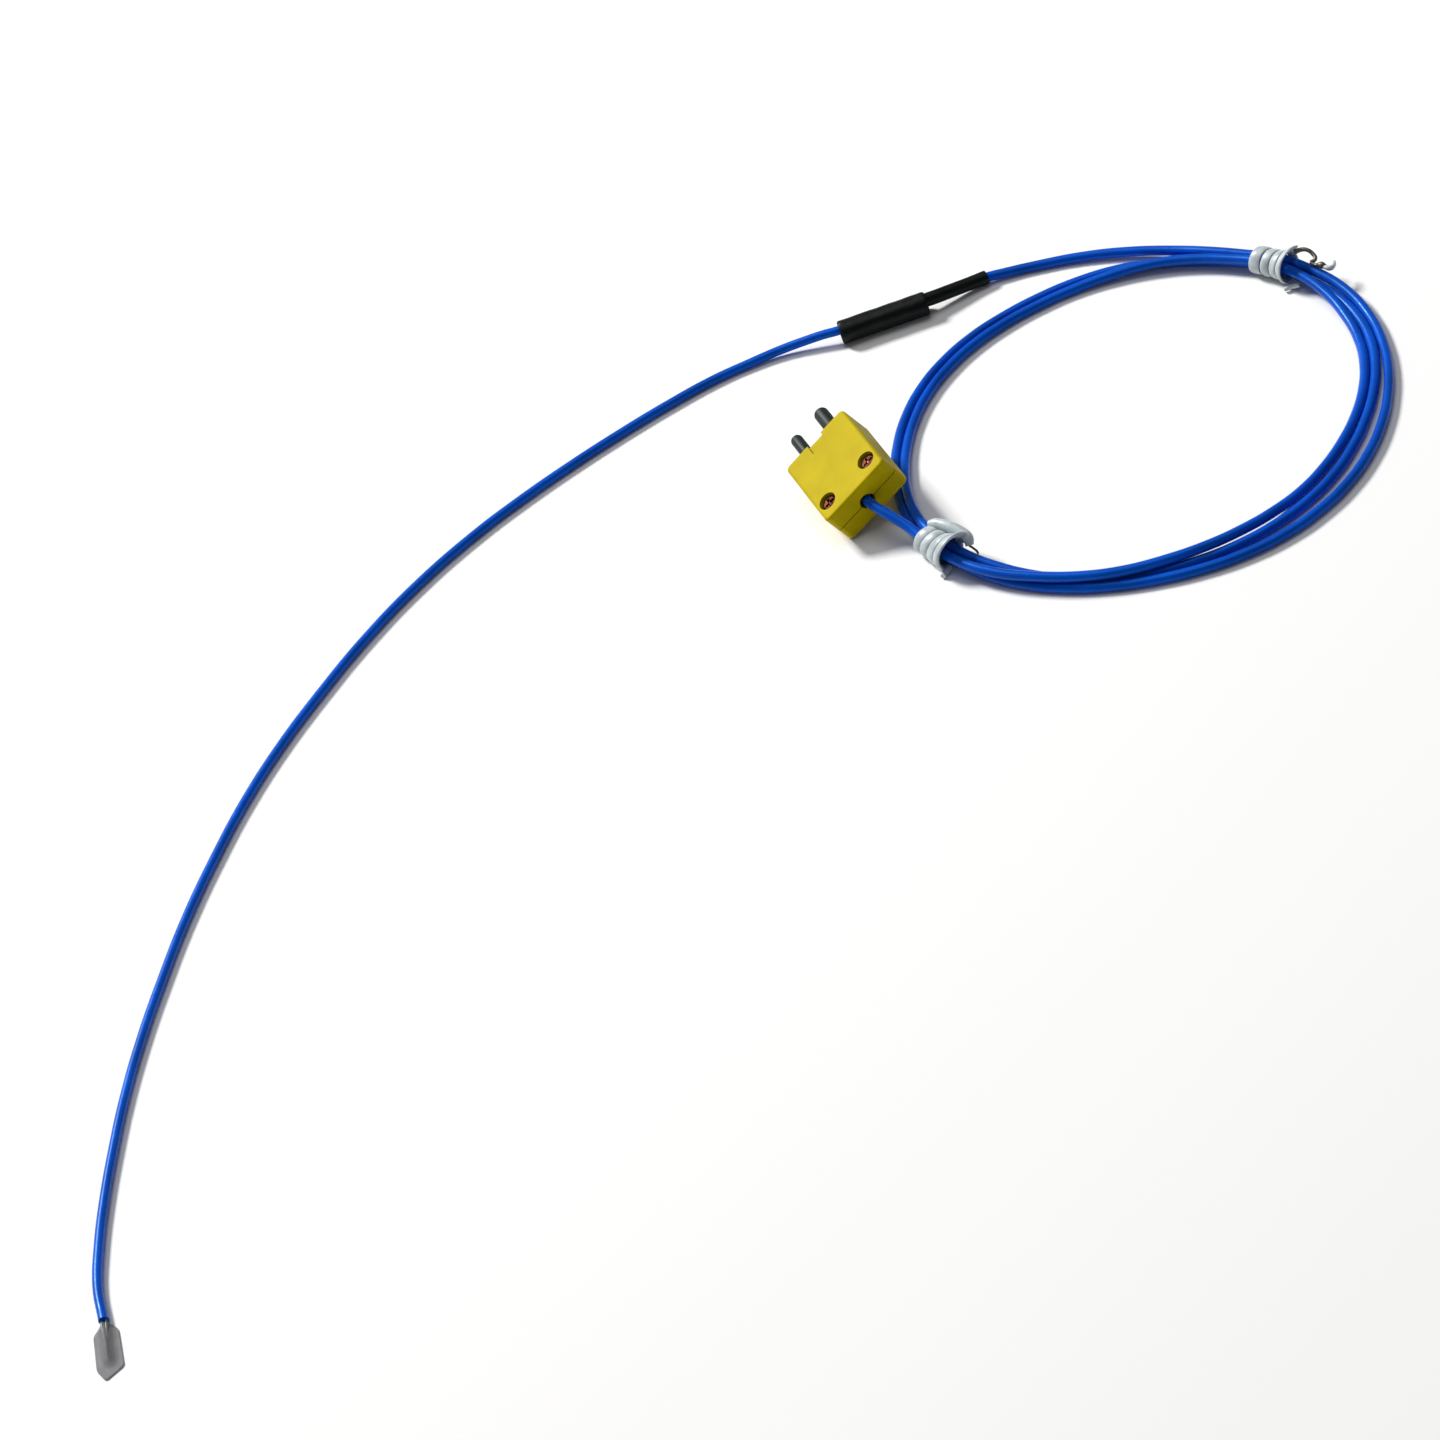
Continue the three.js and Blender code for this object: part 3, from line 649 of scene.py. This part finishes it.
class THERMO_OT_ties(bpy.types.Operator):
    """Wrap the two coated-wire ties round the coil"""

    bl_idname = "thermo.ties"
    bl_label = "Ties"

    def execute(self, context):
        settings = context.scene.thermo_cable
        coating = finish_tie(tuple(settings.tie_white))
        core = finish_metal("tie_core_wire", tuple(settings.tie_core), 0.35, 0.6)
        strand = settings.cable_diameter / 2
        bundle = strand * (1 + 2 / math.sqrt(3.0))
        thickness = settings.tie_thickness
        reach = bundle + settings.tie_gap + thickness / 2

        lower_at = (LOWER_TIE[0] + 2.2, LOWER_TIE[1])
        shape = (4.1, 0.0034, 0.0036, thickness * 1.2, reach + 0.0003, 0.40)
        lower = wrapped_band("tie_lower_wraps", lower_at, shape, 0.0010, 0.0, coating)
        settle(lower, PLUG_BODY, "tie_plastic", "tie_lower")
        shape = (3.8, 0.0033, 0.0030, thickness * 0.8, reach - 0.0001, 0.15)
        upper_at = (UPPER_TIE[0] + 0.2, UPPER_TIE[1])
        upper = wrapped_band("tie_upper_wraps", upper_at, shape, -0.0010, 0.0020, coating)
        settle(upper, PLUG_BODY, "tie_plastic", "tie_upper")

        def strip(name, tie, points, radius, radii, material):
            route = [on_tie(tie, *point) for point in points]
            piece = make_tube(name, route, radius, material, radii, resolution=8, sides=4)
            settle(piece, PLUG_BODY, "tie_plastic")

        strip(
            "tie_lower_end",
            LOWER_TIE,
            (
                (-0.0028, -0.0018, 0.0043),
                (-0.0008, -0.0032, 0.0048),
                (0.0038, -0.0046, 0.0050),
                (0.0084, -0.0056, 0.0044),
                (0.0114, -0.0056, 0.0032),
                (0.0126, -0.0048, 0.0014),
            ),
            0.0016,
            (0.8, 1.05, 1.1, 1.05, 1.1, 0.8),
            coating,
        )
        strip(
            "tie_lower_foot",
            LOWER_TIE,
            (
                (0.0090, 0.0020, -0.0036),
                (0.0096, 0.0042, -0.0037),
                (0.0104, 0.0060, -0.0036),
            ),
            0.0011,
            (1.0, 1.0, 0.8),
            coating,
        )
        strip(
            "tie_lower_core",
            LOWER_TIE,
            (
                (0.0122, -0.0046, 0.0016),
                (0.0138, -0.0050, 0.0006),
                (0.0150, -0.0052, -0.0006),
                (0.0156, -0.0044, -0.0014),
            ),
            0.00035,
            (1.0, 1.0, 1.0, 0.8),
            core,
        )
        strip(
            "tie_upper_curl",
            UPPER_TIE,
            (
                (-0.0060, 0.0026, 0.0046),
                (-0.0074, 0.0040, 0.0050),
                (-0.0090, 0.0049, 0.0050),
                (-0.0110, 0.0052, 0.0040),
                (-0.0126, 0.0043, 0.0032),
                (-0.0121, 0.0028, 0.0029),
            ),
            0.00065,
            (1.3, 1.1, 1.0, 1.0, 1.0, 0.9),
            core,
        )
        strip(
            "tie_upper_knot",
            UPPER_TIE,
            (
                (-0.0120, 0.0027, 0.0028),
                (-0.0140, 0.0030, 0.0024),
                (-0.0160, 0.0036, 0.0028),
                (-0.0172, 0.0040, 0.0024),
            ),
            0.0006,
            (0.8, 1.0, 1.9, 1.2),
            core,
        )
        strip(
            "tie_upper_end",
            UPPER_TIE,
            (
                (-0.0168, 0.0036, 0.0026),
                (-0.0186, 0.0044, 0.0024),
                (-0.0182, 0.0062, 0.0020),
                (-0.0168, 0.0078, 0.0018),
            ),
            0.0007,
            (1.0, 1.2, 1.0, 0.7),
            coating,
        )
        strip(
            "tie_upper_tail",
            UPPER_TIE,
            (
                (-0.0112, -0.0027, -0.0027),
                (-0.0100, -0.0034, -0.0029),
                (-0.0086, -0.0042, -0.0032),
                (-0.0073, -0.0060, -0.0037),
            ),
            0.0008,
            (0.9, 1.0, 1.0, 0.8),
            coating,
        )
        return done_or_fail(self, lower)


class THERMO_OT_extension_cable(bpy.types.Operator):
    """Lay the extension cable: out of the plug, round its turns and into the splice"""

    bl_idname = "thermo.extension_cable"
    bl_label = "Extension cable"

    def execute(self, context):
        settings = context.scene.thermo_cable
        start, end = STRAND[0][0], STRAND[-1][0]
        steps = round((end - start) / COIL_STEP)
        turns = []
        for i in range(steps + 1):
            degrees = start + (end - start) * i / steps
            radius, height = through(STRAND, degrees, 1), through(STRAND, degrees, 2)
            turns.append(around_coil(degrees, radius, height))
        route = [*map(Vector, TAIL_ROUTE), *turns, *map(Vector, RUN_ROUTE)]
        sheath = finish_sheath("cable_sheath", tuple(settings.blue))
        cable = make_tube(
            "extension_cable", route, settings.cable_diameter / 2, sheath, resolution=6, sides=5
        )
        settle(cable, PLUG_BODY, "cable_sheath", "cable_tail", "cable_coil", "cable_run")
        return done_or_fail(self, cable)


class THERMO_OT_sensing_lead(bpy.types.Operator):
    """Lay the sensing lead in its long bow from the splice to the tip"""

    bl_idname = "thermo.sensing_lead"
    bl_label = "Sensing lead"

    def execute(self, context):
        settings = context.scene.thermo_cable
        sheath = finish_sheath("lead_sheath", scaled(tuple(settings.blue), 1.05))
        route = [Vector(point) for point in LEAD_ROUTE]
        inner = route[0] + (SLEEVE_START - SLEEVE_END).normalized() * LEAD_HIDDEN
        lead = make_tube(
            "sensing_lead_sheath",
            [inner, *route],
            settings.lead_diameter / 2,
            sheath,
            resolution=6,
            sides=5,
        )
        settle(lead, PLUG_BODY, "lead_sheath", "sensing_lead")
        return done_or_fail(self, lead)


# ---------------------------------------------------------------- splice


def place_along(start, end):
    """A placement whose +Z runs from start to end, its +Y kept as upright as it can be."""
    along = (end - start).normalized()
    side = Vector((0.0, 0.0, 1.0)).cross(along).normalized()
    up = along.cross(side)
    return Matrix.Translation(start) @ Matrix((side, up, along)).transposed().to_4x4()


def lathe(profile, steps):
    """Spins pairs of radius and place about Z into a closed skin."""
    bm = bmesh.new()
    points = [bm.verts.new((radius, 0.0, along)) for radius, along in profile]
    edges = [bm.edges.new(pair) for pair in zip(points, points[1:])]
    bmesh.ops.spin(
        bm,
        geom=[*points, *edges],
        cent=(0.0, 0.0, 0.0),
        axis=(0.0, 0.0, 1.0),
        angle=2 * math.pi,
        steps=steps,
        use_merge=True,
    )
    bmesh.ops.remove_doubles(bm, verts=bm.verts, dist=0.0000005)
    bmesh.ops.recalc_face_normals(bm, faces=bm.faces)
    return bm


class THERMO_OT_splice(bpy.types.Operator):
    """Shrink the thick sleeve over the crimps and the thin sleeve onto the cable"""

    bl_idname = "thermo.splice"
    bl_label = "Splice"

    def execute(self, context):
        settings = context.scene.thermo_splice
        shrink = finish_shrink(tuple(settings.black))
        long = (SLEEVE_END - SLEEVE_START).length
        outer, wall, lip = settings.thick_radius, settings.wall, 0.00025
        rings = 26
        skin = [(outer - 0.0001, lip)]
        skin += [(outer, lip * 2 + (long - 4 * lip) * i / rings) for i in range(rings + 1)]
        skin.append((outer - 0.0001, long - lip))
        profile = [
            (0.0, 0.004),
            (outer - wall, 0.004),
            (outer - wall, lip),
            (outer - wall * 0.5, 0.0),
            *skin,
            (outer - wall * 0.5, long),
            (outer - wall, long - lip),
            (outer - wall, long - 0.003),
            (0.0, long - 0.003),
        ]
        bm = lathe(profile, 40)
        for vert in bm.verts:
            share = vert.co.z / long
            angle = math.atan2(vert.co.y, vert.co.x)
            flat = 1.0 - 0.05 * math.cos(2 * angle) * math.sin(math.pi * share)
            lump = 1.0 + 0.02 * math.sin(5.0 * math.pi * share + 0.6) * math.cos(angle)
            rough = 1.0 + 0.025 * noise.noise(vert.co * 420.0)
            vert.co.x *= flat * lump * rough
            vert.co.y *= (2.0 - flat) * rough
        bmesh.ops.transform(bm, matrix=place_along(SLEEVE_START, SLEEVE_END), verts=bm.verts)
        thick = keep_mesh("splice_sleeve", bm, shrink, 50.0)
        settle(thick, PLUG_BODY, "shrink_sleeve", "sleeve_thick")

        route = [Vector(point) for point in THIN_SLEEVE_ROUTE]
        thin = make_tube(
            "cable_sleeve",
            route,
            settings.thin_radius,
            shrink,
            radii=(1.03, 0.98, 1.0, 1.02, 1.0),
            resolution=8,
            sides=6,
        )
        settle(thin, PLUG_BODY, "shrink_sleeve", "sleeve_thin")
        return done_or_fail(self, thick)


# ---------------------------------------------------------------- tip


def tip_place():
    """The tip's own frame: +Y onwards from the sheath's end, Z = 0 on the surface."""
    end = Vector(LEAD_ROUTE[-1])
    turn = math.atan2(TIP_HEADING.y, TIP_HEADING.x) - math.pi / 2
    return Matrix.Translation((end.x, end.y, 0.0)) @ Matrix.Rotation(turn, 4, "Z")


FILM_OUTLINE = (
    (-0.0014, 0.0004),
    (0.0014, 0.0006),
    (0.0037, 0.0034),
    (0.0037, 0.0162),
    (0.0014, 0.0207),
    (-0.0041, 0.0172),
    (-0.0039, 0.0098),
    (-0.0036, 0.0034),
)


def make_film(name, inset, low, thickness, arch, material):
    """A thin sheet of the film's outline, raised over the cores and the junction."""
    bm = bmesh.new()
    middle = Vector((0.0, 0.0095, 0.0))
    rim = []
    for x, y in FILM_OUTLINE:
        spot = Vector((x, y, 0.0))
        rim.append(bm.verts.new(spot + (middle - spot).normalized() * inset))
    face = bm.faces.new(rim)
    bmesh.ops.bevel(
        bm,
        geom=list(face.verts),
        offset=0.0009,
        offset_type="OFFSET",
        affect="VERTICES",
        segments=4,
        profile=0.5,
        material=-1,
    )
    for x in (-0.0030, -0.0022, -0.0015, -0.0008, 0.0, 0.0008, 0.0015, 0.0022, 0.0030):
        geometry = [*bm.verts, *bm.edges, *bm.faces]
        bmesh.ops.bisect_plane(
            bm, geom=geometry, plane_co=(x, 0.0, 0.0), plane_no=(1.0, 0.0, 0.0)
        )
    for i in range(1, 20):
        geometry = [*bm.verts, *bm.edges, *bm.faces]
        bmesh.ops.bisect_plane(
            bm, geom=geometry, plane_co=(0.0, 0.001 * i, 0.0), plane_no=(0.0, 1.0, 0.0)
        )
    for vert in bm.verts:
        ridge = math.exp(-((vert.co.x / 0.0013) ** 2))
        ridge *= 1.0 / (1.0 + math.exp((vert.co.y - 0.0148) / 0.0006))
        wave = 0.00012 * noise.noise(vert.co * 380.0)
        vert.co.z = low + arch * ridge + (wave if arch else 0.0)
    bmesh.ops.solidify(bm, geom=bm.faces, thickness=thickness)
    bmesh.ops.recalc_face_normals(bm, faces=bm.faces)
    lowest = min(vert.co.z for vert in bm.verts)
    shift = Matrix.Translation((0.0, 0.0, low - lowest if not arch else 0.0))
    bmesh.ops.transform(bm, matrix=tip_place() @ shift, verts=bm.verts)
    return keep_mesh(name, bm, material, 50.0)


class THERMO_OT_tip(bpy.types.Operator):
    """Make the bare cores, the junction and the film patch at the lead's end"""

    bl_idname = "thermo.tip"
    bl_label = "Tip"

    def execute(self, context):
        settings = context.scene.thermo_tip
        place = tip_place()
        alloy = finish_metal("thermo_alloy", tuple(settings.alloy), 0.34, 0.55)
        varnish = finish_plastic("core_varnish", tuple(settings.varnish), 0.4)
        for name, node, side in (
            ("core_left", "tip_core_positive", -1.0),
            ("core_right", "tip_core_negative", 1.0),
        ):
            points = [
                place @ Vector((side * 0.00055, -0.0015, TIP_CORE_HEIGHT)),
                place @ Vector((side * 0.00062, 0.0012, TIP_CORE_HEIGHT)),
                place @ Vector((side * 0.00050, 0.0036, TIP_CORE_HEIGHT * 0.9)),
                place @ Vector((side * 0.00042, 0.0070, TIP_CORE_HEIGHT * 0.75)),
            ]
            core = make_tube(name, points, TIP_CORE_RADIUS, varnish, resolution=8, sides=4)
            settle(core, PLUG_BODY, "thermo_alloy", node)

        bm = bmesh.new()
        bmesh.ops.create_cube(bm, size=1.0)
        bmesh.ops.scale(bm, vec=JUNCTION_SIZE, verts=bm.verts)
        bmesh.ops.bevel(
            bm,
            geom=bm.edges[:],
            offset=0.0003,
            offset_type="OFFSET",
            affect="EDGES",
            segments=3,
            profile=0.5,
            material=-1,
        )
        bmesh.ops.transform(
            bm, matrix=place @ Matrix.Translation(JUNCTION_PLACE), verts=bm.verts
        )
        junction = keep_mesh("junction", bm, alloy)
        settle(junction, PLUG_BODY, "thermo_alloy", "junction_bead")

        film = finish_film(tuple(settings.film))
        thickness = settings.film_thickness
        base = make_film("patch_base", 0.0, 0.0, thickness, 0.0, film)
        settle(base, PLUG_BODY, "clear_film", "tip_film")
        cover = make_film("patch_cover", 0.0003, 0.0004, thickness * 0.7, 0.0016, film)
        settle(cover, PLUG_BODY, "clear_film", "tip_film_cover")
        return done_or_fail(self, cover)


# ---------------------------------------------------------------- plug


class THERMO_OT_shell(bpy.types.Operator):
    """Finish the two halves of the moulded shell and the grommet"""

    bl_idname = "thermo.shell"
    bl_label = "Shell"

    def execute(self, context):
        settings = context.scene.thermo_plug
        yellow = finish_moulded_yellow(tuple(settings.yellow))
        base = refined_copy("plug_base", "shell_base", settings.edge_break, yellow)
        settle(base, PLUG_BODY, "plug_plastic", "plug_base")
        cover = refined_copy("plug_cover", "shell_cover", settings.edge_break, yellow)
        settle(cover, "cover", "plug_plastic", "plug_cover")
        rubber = finish_plastic("black_rubber", (0.006, 0.006, 0.006), 0.7)
        grommet = refined_copy("cable_grommet", "gland_grommet", settings.edge_break, rubber)
        settle(grommet, PLUG_BODY, "black_rubber", "cable_grommet")
        return done_or_fail(self, cover)


class THERMO_OT_pins(bpy.types.Operator):
    """Finish the two pins"""

    bl_idname = "thermo.pins"
    bl_label = "Pins"

    def execute(self, context):
        settings = context.scene.thermo_plug
        alloy = finish_pin(tuple(settings.pin_colour))
        for pole in ("positive", "negative"):
            pin = refined_copy(
                f"pin_{pole}", f"plug_pin_{pole}", settings.pin_edge, alloy, sharp=60.0
            )
            settle(pin, PLUG_BODY, "pin_metal", f"pin_{pole}")
        return done_or_fail(self, pin)


class THERMO_OT_screws(bpy.types.Operator):
    """Finish the cover screws and the terminal screws"""

    bl_idname = "thermo.screws"
    bl_label = "Screws"

    def execute(self, context):
        settings = context.scene.thermo_plug
        # Painted shade: this steel's dark red-brown base colour stands in for the deep shadow in
        # the cover's screw recesses and for the yellow walls' light reflected into them. The
        # terminal screws inside the plug share it.
        recess_shaded_steel = finish_metal("steel_painted_with_recess_shade", (0.026, 0.006, 0.003), 0.22, 0.36)
        names = ("cover_screw_right", "cover_screw_left")
        names += ("terminal_screw_positive", "terminal_screw_negative")
        for node in names:
            screw = refined_copy(node, f"{node}_turned", settings.pin_edge, recess_shaded_steel, sharp=60.0)
            settle(screw, node, "bright_steel", node)
        return done_or_fail(self, screw)


class THERMO_OT_inner_parts(bpy.types.Operator):
    """Give the parts inside the plug and the splice their finishes"""

    bl_idname = "thermo.inner_parts"
    bl_label = "Inner parts"

    def execute(self, context):
        steel = finish_metal("plated_steel", (0.46, 0.44, 0.42), 0.2, 0.4)
        brass = finish_metal("bare_brass", (0.45, 0.30, 0.09), 0.25, 0.45)
        red = finish_plastic("red_core", (0.42, 0.014, 0.010), 0.35)
        white = finish_plastic("white_core", (0.78, 0.76, 0.70), 0.35)
        for pole, coating in (("positive", red), ("negative", white)):
            paint(f"terminal_washer_{pole}", steel)
            paint(f"crimp_{pole}", brass)
            for stretch in ("plug_core", "cable_core", "lead_core"):
                paint(f"{stretch}_{pole}", coating)
        for side in ("right", "left"):
            paint(f"cover_insert_{side}", brass)
        return {"FINISHED"}


# ---------------------------------------------------------------- panel and run


class THERMO_PT_panel(bpy.types.Panel):
    """Lists the thermocouple's pieces and their settings"""

    bl_idname = "THERMO_PT_panel"
    bl_label = "Thermocouple"
    bl_space_type = "VIEW_3D"
    bl_region_type = "UI"
    bl_category = "Thermocouple"

    def draw(self, context):
        for operator in OPERATORS:
            self.layout.operator(operator.bl_idname)
        for name, group in GROUPS.items():
            box = self.layout.box()
            for prop in group.__annotations__:
                box.prop(getattr(context.scene, name), prop)


GROUPS = {
    "thermo_stage": StageSettings,
    "thermo_cable": CableSettings,
    "thermo_splice": SpliceSettings,
    "thermo_tip": TipSettings,
    "thermo_plug": PlugSettings,
}
OPERATORS = (
    THERMO_OT_stage,
    THERMO_OT_ties,
    THERMO_OT_extension_cable,
    THERMO_OT_tip,
    THERMO_OT_sensing_lead,
    THERMO_OT_splice,
    THERMO_OT_shell,
    THERMO_OT_pins,
    THERMO_OT_screws,
    THERMO_OT_inner_parts,
)


def register():
    for name, group in GROUPS.items():
        bpy.utils.register_class(group)
        setattr(bpy.types.Scene, name, PointerProperty(type=group))
    for operator in OPERATORS:
        bpy.utils.register_class(operator)
    bpy.utils.register_class(THERMO_PT_panel)


def unregister():
    bpy.utils.unregister_class(THERMO_PT_panel)
    for operator in reversed(OPERATORS):
        bpy.utils.unregister_class(operator)
    for name, group in GROUPS.items():
        delattr(bpy.types.Scene, name)
        bpy.utils.unregister_class(group)


def main():
    register()
    for operator in OPERATORS:
        group, name = operator.bl_idname.split(".")
        getattr(getattr(bpy.ops, group), name)()


if __name__ == "__main__":
    main()
